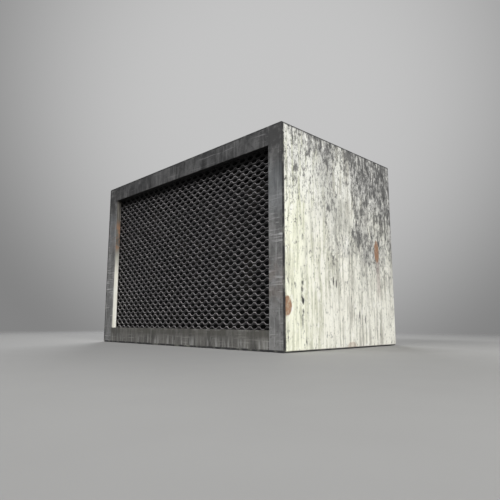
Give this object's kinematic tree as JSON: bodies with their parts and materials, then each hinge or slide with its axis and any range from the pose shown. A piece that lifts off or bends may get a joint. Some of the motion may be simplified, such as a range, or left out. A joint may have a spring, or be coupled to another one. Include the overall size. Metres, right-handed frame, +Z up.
{
  "type": "air filter housing",
  "caption": "Side-access filter box of folded sheet steel: grille front, slide-out drawer with foam and pleated element, rear hose spigot.",
  "frame": {"origin": "centre of the flat underside of the casing", "axes": "+X to the right seen from the grille, +Y from the grille to the outlet spigot, +Z up"},
  "size_m": [0.3052, 0.209, 0.186],
  "materials": {
    "weathered_steel": "weathered, scratched and spotted with rust",
    "frame_steel": "weathered, mottled, dull",
    "grille_steel": "dirty grey, semi-matt",
    "black_steel": "matt black paint",
    "spring_steel": "plain spring strip",
    "zinc": "dull zinc plate",
    "spigot_steel": "galvanised, stained",
    "handle_steel": "worn bright plate",
    "rivet_aluminium": "dull",
    "rubber": "matt black",
    "foam": "open-cell charcoal foam",
    "element_frame": "moulded orange-brown polyurethane",
    "filter_paper": "resin-treated yellow paper"
  },
  "bodies": {
    "housing": {"casing_wrapper": "weathered_steel", "frame_left_stile": "frame_steel", "frame_right_stile": "frame_steel", "frame_bottom_rail": "frame_steel", "frame_top_rail": "frame_steel", "frame_corner_straps": "frame_steel", "grille": "grille_steel", "grille_retainer": "black_steel", "grille_clips": "spring_steel", "lower_runner": "black_steel", "upper_runner": "black_steel", "seal_partition": "black_steel", "thumbscrew_nuts": "zinc", "base_rivet_nuts": "zinc", "rear_gasket": "rubber", "rear_panel": "weathered_steel", "rear_screws": "zinc", "rear_nuts": "zinc", "outlet_spigot": "spigot_steel", "spigot_gasket": "rubber", "spigot_screws": "zinc", "spigot_nuts": "zinc"},
    "drawer": {"drawer_end_plate": "weathered_steel", "drawer_gasket": "rubber", "tray_bottom_rail": "black_steel", "tray_top_rail": "black_steel", "tray_inner_post": "black_steel", "tray_outer_post": "black_steel", "end_plate_rivets": "rivet_aluminium", "prefilter_foam": "foam", "element_frame": "element_frame", "pleated_media": "filter_paper", "element_seal": "rubber", "element_clips": "spring_steel", "handle_brackets": "spigot_steel", "bracket_rivets": "rivet_aluminium"},
    "handle": {"pull_handle": "handle_steel"},
    "screw_upper": {"thumbscrew_upper": "zinc", "upper_retaining_clip": "spring_steel"},
    "screw_lower": {"thumbscrew_lower": "zinc", "lower_retaining_clip": "spring_steel"}
  },
  "joints": [
    {"name": "drawer_slide", "type": "slide", "parent": "housing", "child": "drawer", "axis": [-1, 0, 0], "range_m": [0, 0.25]},
    {"name": "handle_hinge", "type": "hinge", "parent": "drawer", "child": "handle", "pos_m": [-0.1552, -0.035, 0.11], "axis": [0, 1, 0], "range_deg": [0, 90]},
    {"name": "thumbscrew_upper_turn", "type": "hinge", "parent": "drawer", "child": "screw_upper", "pos_m": [-0.148, -0.035, 0.174], "axis": [1, 0, 0], "continuous": true},
    {"name": "thumbscrew_lower_turn", "type": "hinge", "parent": "drawer", "child": "screw_lower", "pos_m": [-0.148, -0.035, 0.012], "axis": [1, 0, 0], "continuous": true}
  ]
}
